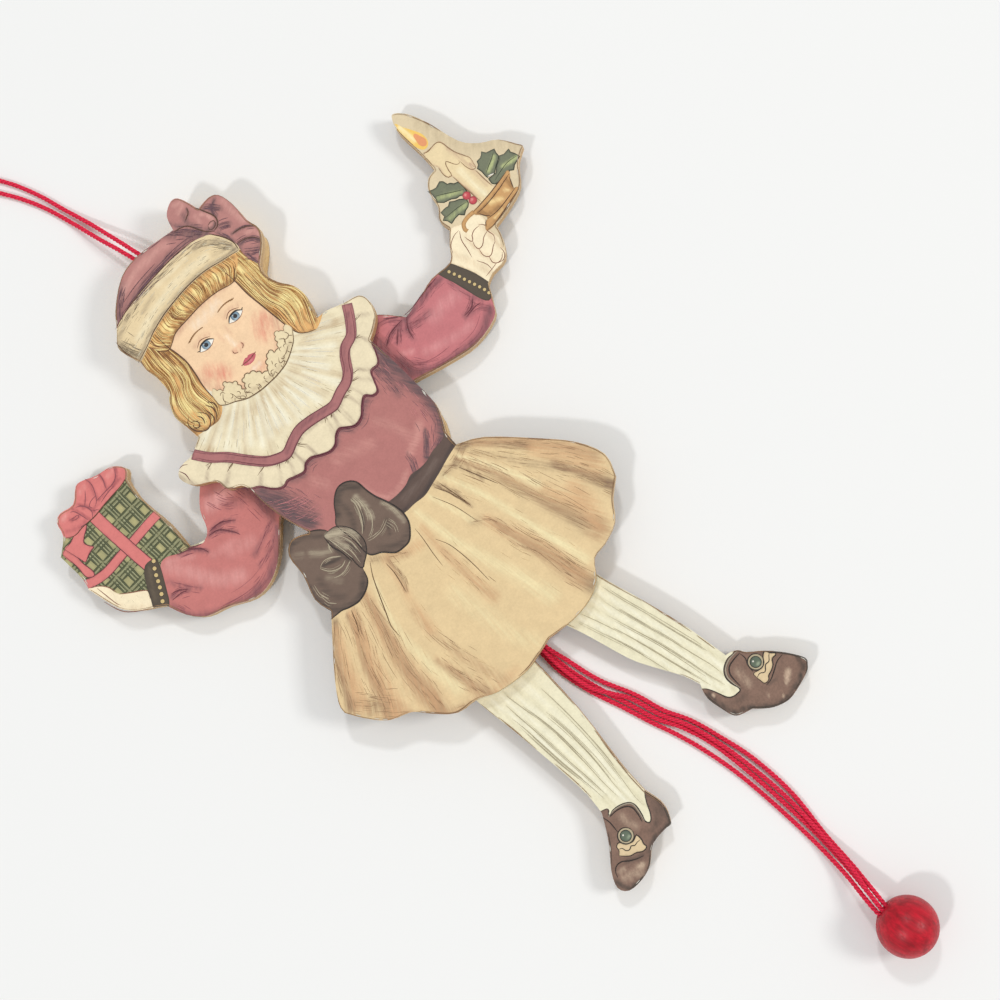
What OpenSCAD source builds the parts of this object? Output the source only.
// Pull string jumping jack: a flat girl in winter dress that lies on its back.
// X runs to the viewer's right, Y towards the head and Z out of the printed face.
// The origin is on the back of the waist block, in the middle of the figure.

/* [Patterns] */
// Width of the square grid that the body board is drawn on
body_grid_w = 100; // [92:1:108]
// Height of the square grid that the body board is drawn on
body_grid_h = 100; // [92:1:108]
// Side of the square grid that both arms are drawn on
arm_grid = 100; // [90:1:104]
// Side of the square grid that both legs are drawn on
leg_grid = 100; // [85:1:110]

/* [Boards] */
// Thickness of the body board
front_t = 3; // [2.4:0.1:4]
// Thickness of the arms and legs
limb_t = 3; // [2.6:0.1:4]
// Thickness of the printed paper
paper_t = 0.2; // [0.1:0.05:0.3]
// Room behind the limbs for pins and cords
cord_room = 1.9; // [1.8:0.1:3]
// Gap between the paper on a limb and the body board
limb_gap = 0.3; // [0.2:0.05:0.6]
// How far the edge of the backing board stays inside the edge of the head
backing_step = 0.3; // [0.1:0.05:1]
// Width of the backing board between the shoulders
spine_w = 5.4; // [4:0.1:6.4]

/* [Pins and washers] */
// Shank diameter of a pin
pin_d = 2.5; // [2:0.1:3]
// Head diameter of a pin
pin_head_d = 4.8; // [4:0.1:6]
// Height of a pin's head
pin_head_t = 0.8; // [0.5:0.1:1]
// Depth of the pin's seat in the body board
pin_seat = 2.2; // [1.5:0.1:2.3]
// Radial clearance of a limb on its pin
pin_clear = 0.05; // [0.02:0.01:0.1]
// Outer diameter of a washer
washer_d = 6; // [5:0.1:7]
// Thickness of a washer
washer_t = 0.4; // [0.3:0.05:0.5]
// Play between a washer and its limb
washer_play = 0.1; // [0.05:0.01:0.2]

/* [Levers] */
// Distance from a shoulder pin to the arm's cord hole
arm_lever = 8; // [6:0.1:9]
// Distance from a hip pin to the leg's cord hole
leg_lever = 6; // [5:0.1:6.4]
// Radius of the round eye at the end of a lever
lever_tip_r = 2.6; // [2:0.1:2.8]
// Width of a lever between its limb and its eye
lever_w = 4.4; // [3.2:0.1:4.6]
// Diameter of the hole that a cord passes through
cord_hole_d = 1.4; // [1.2:0.1:1.6]
// Diameter of a stopper knot
knot_d = 2.2; // [1.8:0.1:2.6]
// Height of a stopper knot
knot_h = 1.5; // [1.2:0.1:1.8]
// Radial clearance round a knot
knot_clear = 0.2; // [0.1:0.05:0.3]
// Wood left under a knot
knot_floor = 0.9; // [0.7:0.1:1.2]

/* [Cords and bead] */
// Diameter of the cord
cord_d = 1; // [0.8:0.05:1.1]
// Diameter of the pull bead
bead_d = 12; // [10:0.5:16]
// Diameter of the blind hole in the bead
bead_bore_d = 3.3; // [3.2:0.1:4]
// Depth of the blind hole in the bead
bead_bore_depth = 7; // [5:0.5:8]
// Width of the groove behind the waist for an arm's cord
groove_w = 3.2; // [2.4:0.1:4]
// Width of the groove behind the hat for the hanging loop
loop_groove_w = 3; // [2.6:0.1:4]
// Depth of the groove behind the hat
loop_groove_t = 1.2; // [1.1:0.1:1.6]
// Length of the groove behind the hat
loop_groove_l = 11; // [8:0.5:16]

/* [Rest pose] */
// Rise of an arm's lever above level
arm_lever_rise = 14; // [5:1:25]
// Rise of the left leg's lever above level
left_leg_lever_rise = 27; // [10:1:35]
// Rise of the right leg's lever above level
right_leg_lever_rise = 11; // [5:1:25]

/* [Hidden] */
sides = ["left", "right"];

overrun = 0.5;
curve_steps = 3;
round_fn = 64;
cord_sides = 8;

// Heights of the layers, from the table up
limb_z = cord_room;
limb_top_z = limb_z + limb_t;
plate_z = limb_top_z + paper_t + limb_gap;
plate_top_z = plate_z + front_t;
washer_z = limb_z - washer_play - washer_t;
pin_head_z = washer_z - pin_head_t;
knot_z = limb_z + knot_floor;
cord_z = cord_d / 2;

// Places on the body grid, as shares of its width and height
shoulder_share = [0.155, 0.19];
hip_share = [0.092, -0.34];
head_middle_share = [0, 0.5];

// Outline of the body board, as shares of the body grid, in runs that meet at corners
hair_left_share = [[-0.184, 0.313], [-0.186, 0.345], [-0.189, 0.375], [-0.178, 0.403],
    [-0.162, 0.425], [-0.16, 0.46], [-0.164, 0.485], [-0.161, 0.506]];
hat_share = [[-0.161, 0.506], [-0.171, 0.535], [-0.173, 0.562], [-0.15, 0.589],
    [-0.12, 0.624], [-0.07, 0.659], [-0.02, 0.668], [0.04, 0.659], [0.072, 0.653]];
hat_loop_share = [[0.072, 0.653], [0.082, 0.682], [0.103, 0.697], [0.12, 0.697],
    [0.13, 0.68], [0.138, 0.647]];
hat_bow_share = [[0.138, 0.647], [0.168, 0.649], [0.187, 0.638], [0.194, 0.605],
    [0.192, 0.56], [0.197, 0.53], [0.181, 0.504], [0.147, 0.476]];
hair_right_share = [[0.147, 0.476], [0.139, 0.455], [0.148, 0.423], [0.164, 0.396],
    [0.168, 0.368], [0.159, 0.338], [0.151, 0.313]];
collar_right_share = [[0.151, 0.313], [0.175, 0.311], [0.21, 0.297], [0.243, 0.286],
    [0.25, 0.264], [0.24, 0.236], [0.22, 0.219], [0.196, 0.206]];
bodice_right_share = [[0.196, 0.206], [0.199, 0.16], [0.2, 0.06], [0.195, 0.01], [0.163, -0.05]];
skirt_right_share = [[0.17, -0.066], [0.22, -0.095], [0.292, -0.172], [0.34, -0.231],
    [0.363, -0.288], [0.348, -0.333]];
hem_right_share = [[0.348, -0.333], [0.312, -0.361], [0.283, -0.395], [0.24, -0.411],
    [0.205, -0.416], [0.178, -0.448], [0.14, -0.467], [0.09, -0.472], [0.03, -0.465]];
hem_left_share = [[0.03, -0.465], [-0.005, -0.473], [-0.05, -0.479], [-0.115, -0.468],
    [-0.152, -0.45], [-0.2, -0.441], [-0.235, -0.408], [-0.262, -0.377], [-0.305, -0.357],
    [-0.335, -0.322], [-0.356, -0.287]];
skirt_left_share = [[-0.356, -0.287], [-0.35, -0.262], [-0.308, -0.206], [-0.236, -0.125]];
sash_bow_share = [[-0.236, -0.125], [-0.243, -0.086], [-0.226, -0.035], [-0.22, 0.012],
    [-0.194, 0.032], [-0.158, 0.017]];
bodice_left_share = [[-0.158, 0.017], [-0.174, 0.07], [-0.181, 0.12], [-0.182, 0.163]];
collar_left_share = [[-0.182, 0.163], [-0.19, 0.182], [-0.214, 0.196], [-0.22, 0.225],
    [-0.257, 0.251], [-0.268, 0.281], [-0.25, 0.296], [-0.215, 0.297], [-0.184, 0.313]];

// Waist block of the backing board, as shares of the body grid
waist_share = [[-0.158, 0.04], [-0.148, -0.12], [0.135, -0.12], [0.16, -0.055]];
waist_right_share = [[0.16, -0.055], [0.187, -0.008], [0.195, 0.04]];

// Left arm with its gift, as shares of the body grid: the sleeve and hand, then the gift
left_sleeve_share = [[-0.355, 0.178], [-0.322, 0.164], [-0.302, 0.178], [-0.287, 0.213],
    [-0.256, 0.246], [-0.225, 0.266], [-0.18, 0.274], [-0.13, 0.268], [-0.095, 0.235],
    [-0.09, 0.16], [-0.115, 0.122], [-0.155, 0.102], [-0.187, 0.082], [-0.235, 0.036],
    [-0.285, 0.009], [-0.33, 0.008], [-0.38, 0.034], [-0.425, 0.051], [-0.452, 0.082],
    [-0.468, 0.124]];
left_hand_share = [[-0.468, 0.124], [-0.487, 0.138], [-0.518, 0.16], [-0.542, 0.192],
    [-0.559, 0.26]];
gift_share = [[-0.559, 0.26], [-0.553, 0.285], [-0.555, 0.348]];
gift_bow_share = [[-0.555, 0.348], [-0.522, 0.375], [-0.513, 0.403], [-0.495, 0.413],
    [-0.463, 0.407], [-0.434, 0.43], [-0.415, 0.428], [-0.39, 0.416], [-0.355, 0.407],
    [-0.336, 0.384], [-0.35, 0.366]];
gift_side_share = [[-0.35, 0.366], [-0.355, 0.345], [-0.358, 0.31], [-0.351, 0.24],
    [-0.355, 0.178]];

// Right arm with its candle, as shares of the body grid
right_sleeve_share = [[0.443, 0.125], [0.423, 0.09], [0.402, 0.066], [0.34, 0.055],
    [0.28, 0.067], [0.21, 0.088], [0.155, 0.104], [0.115, 0.122], [0.09, 0.16],
    [0.095, 0.235], [0.13, 0.266], [0.18, 0.272], [0.24, 0.242], [0.28, 0.194]];
right_cuff_share = [[0.28, 0.194], [0.325, 0.202], [0.37, 0.213], [0.42, 0.21],
    [0.443, 0.235], [0.468, 0.26]];
leaf_share = [[0.468, 0.26], [0.465, 0.286], [0.482, 0.308], [0.491, 0.344], [0.51, 0.364],
    [0.531, 0.367]];
candle_share = [[0.531, 0.367], [0.535, 0.41], [0.534, 0.475], [0.545, 0.506], [0.555, 0.51],
    [0.573, 0.49], [0.59, 0.445], [0.606, 0.376], [0.632, 0.342], [0.665, 0.318],
    [0.69, 0.274]];
dish_share = [[0.69, 0.274], [0.66, 0.257], [0.63, 0.222], [0.59, 0.207], [0.538, 0.198]];
right_hand_share = [[0.538, 0.198], [0.528, 0.168], [0.503, 0.137], [0.465, 0.134],
    [0.443, 0.125]];

// Left leg as it hangs, as shares of the body grid: stocking, then shoe
left_shin_share = [[-0.136, -0.776], [-0.132, -0.71], [-0.146, -0.55], [-0.157, -0.46],
    [-0.158, -0.36], [-0.135, -0.295], [-0.092, -0.282], [-0.045, -0.3], [-0.025, -0.36],
    [-0.022, -0.46], [-0.026, -0.6], [-0.043, -0.74], [-0.046, -0.806]];
left_heel_share = [[-0.046, -0.806], [-0.039, -0.84], [-0.043, -0.864], [-0.054, -0.884]];
left_sole_share = [[-0.054, -0.884], [-0.106, -0.887], [-0.14, -0.912], [-0.17, -0.921],
    [-0.203, -0.919], [-0.216, -0.9], [-0.203, -0.87], [-0.17, -0.83], [-0.15, -0.8],
    [-0.136, -0.776]];

// Right leg as it hangs, swung out and drawn with a fuller shoe
right_shin_share = [[0.176, -0.735], [0.163, -0.698], [0.13, -0.638], [0.112, -0.598],
    [0.09, -0.522], [0.076, -0.48], [0.056, -0.43], [0.04, -0.38], [0.036, -0.33],
    [0.062, -0.289], [0.1, -0.278], [0.14, -0.298], [0.164, -0.35], [0.19, -0.46],
    [0.214, -0.544], [0.237, -0.64], [0.251, -0.73]];
right_toe_share = [[0.251, -0.73], [0.264, -0.733], [0.276, -0.741], [0.284, -0.754],
    [0.312, -0.778], [0.34, -0.812], [0.356, -0.842], [0.349, -0.855], [0.336, -0.864],
    [0.288, -0.876], [0.262, -0.873], [0.238, -0.861], [0.214, -0.839]];
right_heel_share = [[0.214, -0.839], [0.187, -0.83], [0.177, -0.818], [0.171, -0.794],
    [0.167, -0.77], [0.169, -0.752], [0.176, -0.735]];

// Routes of the pull cords on the table, points in millimetres, from the hem to the bead
left_leg_route = [[-0.45, -45, 0.52], [-0.25, -52, 0.52], [1.2, -59, 0.52], [3.6, -66, 0.52],
    [5.5, -72, 0.52], [7.4, -77, 0.52], [9.2, -83, 0.52], [10.7, -91, 0.52],
    [11.5, -101, 0.52], [11.8, -111, 0.7], [11.5, -119, 2.4], [10.9, -124.5, 4.7],
    [10.73, -128.5, 6], [11.9, -134, 6]];
left_arm_route = [[0.1, -45, 1.46], [0.45, -52, 1.36], [1.9, -59, 1.5], [3.95, -62.5, 1.56],
    [6, -66, 1], [7.75, -72, 0.7], [10.05, -77, 1.1], [11.8, -83, 1.25], [13.15, -91, 0.8],
    [13.95, -101, 0.85], [13.6, -111, 1.6], [13.1, -119, 3.35], [12.1, -124.5, 5.4],
    [11.78, -128.5, 6.56], [12.9, -134, 6.56]];
right_arm_route = [[0.6, -45, 0.52], [1.1, -52, 0.52], [2.6, -59, 0.52], [4.75, -66, 0.52],
    [6.6, -72, 0.52], [9.1, -77, 0.52], [11, -83, 0.52], [12.1, -91, 0.52],
    [12.8, -101, 0.52], [13.05, -111, 0.7], [12.6, -119, 2.3], [12.1, -124.5, 4.3],
    [11.76, -128.5, 5.44], [12.9, -134, 5.44]];
right_leg_route = [[1.15, -45, 1.46], [2.4, -52, 0.52], [4.1, -59, 0.52], [7.1, -66, 0.52],
    [8.85, -72, 0.52], [11.1, -77, 0.52], [12.75, -83, 0.52], [14.4, -91, 0.52],
    [15.05, -101, 0.52], [14.15, -111, 0.7], [13.65, -119, 2.4], [13.1, -124.5, 4.7],
    [12.8, -128.4, 6], [13.9, -133.8, 6]];
// Bend of a cord below its lever, as shares of the cord: forward, up, and forward at its end
bend_share = [0.3, 0.35, 1.3];
// Middle of the bead and the way its hole faces
bead_place = [12.9, -133.5];
bead_turn = 11.3;
// Route of the hanging loop, points in millimetres
loop_route = [[-1.1, 57.5, 4.8], [-1.1, 66.5, 4.8], [-1.9, 71, 4], [-3, 76, 2.7],
    [-4.4, 82, 1.2], [-6.1, 88, 0.52], [-7.6, 93.5, 0.52], [-9.7, 99, 0.52],
    [-12.8, 105, 0.52], [-15.4, 111.5, 0.52], [-16.8, 117.5, 0.52], [-19, 120.8, 0.52],
    [-21.6, 119.2, 0.52], [-21, 114.5, 0.52], [-17.8, 108, 0.52], [-14.2, 102, 0.52],
    [-10.8, 96, 0.52], [-8.5, 90.5, 0.52], [-6.8, 84.5, 0.7], [-5, 77, 2.5],
    [-3.5, 71.5, 3.9], [-2.5, 66.5, 4.8], [-2.5, 57.5, 4.8]];
loop_x = (loop_route[0][0] + loop_route[len(loop_route) - 1][0]) / 2;

// One point on a smooth curve from b to c, with a before and d after
function between(a, b, c, d, t) =
    (2 * b + (c - a) * t + (2 * a - 5 * b + 4 * c - d) * t * t
        + (3 * b - a - 3 * c + d) * t * t * t) / 2;

// A smooth run through the points of one stretch, without its last point
function smooth(p, n = curve_steps) = [
    for (i = [0 : len(p) - 2], k = [0 : n - 1])
        between(p[max(i - 1, 0)], p[i], p[i + 1], p[min(i + 2, len(p) - 1)], k / n)];

function join(runs) = [for (r = runs, p = smooth(r)) p];
function on_body(p) = [p[0] * body_grid_w, p[1] * body_grid_h];
function side_sign(side) = side == "left" ? -1 : 1;
function shoulder(side) = on_body([side_sign(side) * shoulder_share[0], shoulder_share[1]]);
function hip(side) = on_body([side_sign(side) * hip_share[0], hip_share[1]]);
function turned(p, a) = [p[0] * cos(a) - p[1] * sin(a), p[0] * sin(a) + p[1] * cos(a)];

// Outline points of the pieces, in millimetres
head_runs = [hair_left_share, hat_share, hat_loop_share, hat_bow_share, hair_right_share];
body_runs = concat(head_runs, [collar_right_share, bodice_right_share, skirt_right_share,
    hem_right_share, hem_left_share, skirt_left_share, sash_bow_share, bodice_left_share,
    collar_left_share]);
body_points = [for (p = join(body_runs)) on_body(p)];
head_size = body_grid_h * (hat_share[6][1] - hair_left_share[0][1]);
head_shrink = 1 - 2 * backing_step / head_size;
backing_head_points = [for (p = concat(join(head_runs), [hair_right_share[6]]))
    on_body(head_middle_share + (p - head_middle_share) * head_shrink)];
waist_points = [for (p = concat(waist_share, smooth(waist_right_share), [waist_right_share[2]]))
    on_body(p)];
left_arm_points = [for (p = join([left_sleeve_share, left_hand_share, gift_share,
    gift_bow_share, gift_side_share])) (p - [-shoulder_share[0], shoulder_share[1]]) * arm_grid];
right_arm_points = [for (p = join([right_sleeve_share, right_cuff_share, leaf_share,
    candle_share, dish_share, right_hand_share])) (p - shoulder_share) * arm_grid];
left_leg_points = [for (p = join([left_shin_share, left_heel_share, left_sole_share]))
    (p - [-hip_share[0], hip_share[1]]) * leg_grid];
right_leg_points = [for (p = join([right_shin_share, right_toe_share, right_heel_share]))
    (p - hip_share) * leg_grid];

// Place of a cord hole, measured from its pin
function arm_hole(side) = turned([-side_sign(side) * arm_lever, 0],
    -side_sign(side) * arm_lever_rise);
function leg_rise(side) = side == "left" ? left_leg_lever_rise : right_leg_lever_rise;
function leg_hole(side) = turned([-side_sign(side) * leg_lever, 0],
    -side_sign(side) * leg_rise(side));

// Tube along a route: rings of points square to the way the cord runs
function unit(v) = v / norm(v);
function heading(p, i) = unit(p[min(i + 1, len(p) - 1)] - p[max(i - 1, 0)]);
function across(t) = unit(cross(t, abs(t[2]) > 0.9 ? [1, 0, 0] : [0, 0, 1]));
function ring(c, t, r) = let (u = across(t), w = cross(t, u))
    [for (k = [0 : cord_sides - 1]) let (a = (k + 0.5) * 360 / cord_sides)
        c + r * (cos(a) * u + sin(a) * w)];

module cord_tube(route) {
    n = len(route);
    points = [for (i = [0 : n - 1]) each ring(route[i], heading(route, i), cord_d / 2)];
    walls = [for (i = [0 : n - 2], k = [0 : cord_sides - 1])
        let (a = i * cord_sides + k, b = i * cord_sides + (k + 1) % cord_sides)
            each [[a, b, b + cord_sides], [a, b + cord_sides, a + cord_sides]]];
    caps = [[for (k = [cord_sides - 1 : -1 : 0]) k],
        [for (k = [0 : cord_sides - 1]) (n - 1) * cord_sides + k]];
    polyhedron(points, concat(walls, caps), convexity = 6);
}

// Route of a pull cord: down through its lever, round a bend, then along the table
function pull_route(at, route) = concat([[at[0], at[1], knot_z], [at[0], at[1], limb_z],
    [at[0], at[1] - bend_share[0] * cord_d, cord_room / 2 + bend_share[1] * cord_d],
    [at[0], at[1] - bend_share[2] * cord_d, cord_room / 2]], route);

// Seat of one pin in the back of the body board
module pin_seat_cut(at) {
    translate([at[0], at[1], plate_z - overrun])
        cylinder(d = pin_d, h = pin_seat + overrun, $fn = round_fn);
}

module front_plate() {
    color("burlywood") difference() {
        translate([0, 0, plate_z])
            linear_extrude(front_t) polygon(body_points);
        for (side = sides) {
            pin_seat_cut(shoulder(side));
            pin_seat_cut(hip(side));
        }
    }
}

module body_print() {
    color("rosybrown")
        translate([0, 0, plate_top_z])
            linear_extrude(paper_t) polygon(body_points);
}

// Groove in the back of the waist block, along the line of one arm's cord
module cord_groove(side) {
    from = shoulder(side) + arm_hole(side);
    slant = atan2(from[0], from[1] - hem_left_share[0][1] * body_grid_h);
    translate([from[0], from[1], -overrun])
        rotate([0, 0, -slant])
            translate([-groove_w / 2, hem_left_share[0][1] * body_grid_h, 0])
                cube([groove_w, -hem_left_share[0][1] * body_grid_h, cord_room + overrun]);
}

module backing_board() {
    spine_low = waist_share[1][1] * body_grid_h;
    spine_high = head_middle_share[1] * body_grid_h;
    color("peru") difference() {
        union() {
            linear_extrude(plate_z) polygon(backing_head_points);
            linear_extrude(plate_z) polygon(waist_points);
            translate([-spine_w / 2, spine_low, 0])
                cube([spine_w, spine_high - spine_low, plate_z]);
        }
        for (side = sides)
            cord_groove(side);
        translate([loop_x - loop_groove_w / 2,
            hat_share[6][1] * body_grid_h - loop_groove_l, plate_z - loop_groove_t])
            cube([loop_groove_w, loop_groove_l + overrun, loop_groove_t + overrun]);
    }
}

// Slab in the outline of a limb with its lever: a bar that ends in a round eye for the cord
module limb_slab(points, hole, thickness) {
    linear_extrude(thickness) polygon(points);
    rotate([0, 0, atan2(hole[1], hole[0])])
        translate([0, -lever_w / 2, 0])
            cube([norm(hole), lever_w, thickness]);
    translate([hole[0], hole[1], 0])
        cylinder(r = lever_tip_r, h = thickness, $fn = round_fn);
}

module limb(points, hole) {
    difference() {
        translate([0, 0, limb_z])
            limb_slab(points, hole, limb_t);
        translate([0, 0, limb_z - overrun])
            cylinder(d = pin_d + 2 * pin_clear, h = limb_t + 2 * overrun, $fn = round_fn);
        translate([hole[0], hole[1], limb_z - overrun])
            cylinder(d = cord_hole_d, h = limb_t + overrun, $fn = round_fn);
        translate([hole[0], hole[1], knot_z])
            cylinder(d = knot_d + 2 * knot_clear, h = limb_t + overrun, $fn = round_fn);
    }
}

module limb_print(points, hole) {
    difference() {
        translate([0, 0, limb_top_z])
            limb_slab(points, hole, paper_t);
        translate([0, 0, limb_top_z - overrun])
            cylinder(d = pin_d + 2 * pin_clear, h = paper_t + 2 * overrun, $fn = round_fn);
        translate([hole[0], hole[1], limb_top_z - overrun])
            cylinder(d = knot_d + 2 * knot_clear, h = paper_t + 2 * overrun, $fn = round_fn);
    }
}

function arm_points(side) = side == "left" ? left_arm_points : right_arm_points;
function leg_points(side) = side == "left" ? left_leg_points : right_leg_points;

module arm(side) {
    color("tan") translate(shoulder(side)) limb(arm_points(side), arm_hole(side));
}

module leg(side) {
    color("tan") translate(hip(side)) limb(leg_points(side), leg_hole(side));
}

module arm_print(side) {
    color("indianred") translate(shoulder(side)) limb_print(arm_points(side), arm_hole(side));
}

module leg_print(side) {
    color("beige") translate(hip(side)) limb_print(leg_points(side), leg_hole(side));
}

// Headed pin that stands in the back of the body board
module pin(at) {
    color("goldenrod") translate(at) {
        translate([0, 0, pin_head_z])
            cylinder(d = pin_head_d, h = pin_head_t, $fn = round_fn);
        translate([0, 0, washer_z])
            cylinder(d = pin_d, h = plate_z + pin_seat - washer_z, $fn = round_fn);
    }
}

module washer(at) {
    color("silver") translate([at[0], at[1], washer_z])
        difference() {
            cylinder(d = washer_d, h = washer_t, $fn = round_fn);
            translate([0, 0, -overrun])
                cylinder(d = pin_d + 2 * pin_clear, h = washer_t + 2 * overrun, $fn = round_fn);
        }
}

// Stopper knot: a short barrel with a rounded side
module knot(at) {
    waist_r = knot_d / 2;
    end_r = cord_hole_d / 2 + knot_clear;
    color("crimson") translate([at[0], at[1], knot_z])
        rotate_extrude($fn = round_fn)
            polygon(concat([[0, 0]],
                [for (a = [-90 : 30 : 90]) [end_r + (waist_r - end_r) * cos(a),
                    knot_h / 2 * (1 + sin(a))]],
                [[0, knot_h]]));
}

module pull_cord(at, route) {
    color("crimson") cord_tube(pull_route(at, route));
}

module bead() {
    color("firebrick")
        translate([bead_place[0], bead_place[1], bead_d / 2])
            rotate([0, 0, bead_turn])
                difference() {
                    sphere(d = bead_d, $fn = round_fn);
                    rotate([-90, 0, 0])
                        translate([0, 0, bead_d / 2 - bead_bore_depth])
                            cylinder(d = bead_bore_d, h = bead_bore_depth + overrun,
                                $fn = round_fn);
                }
}

module hanging_loop() {
    color("crimson") cord_tube(loop_route);
}

front_plate();
body_print();
backing_board();
for (side = sides) {
    arm(side);
    leg(side);
    arm_print(side);
    leg_print(side);
    pin(shoulder(side));
    pin(hip(side));
    washer(shoulder(side));
    washer(hip(side));
    knot(shoulder(side) + arm_hole(side));
    knot(hip(side) + leg_hole(side));
}
pull_cord(shoulder("left") + arm_hole("left"), left_arm_route);  // left_arm_cord
pull_cord(shoulder("right") + arm_hole("right"), right_arm_route);  // right_arm_cord
pull_cord(hip("left") + leg_hole("left"), left_leg_route);  // left_leg_cord
pull_cord(hip("right") + leg_hole("right"), right_leg_route);  // right_leg_cord
bead();
hanging_loop();
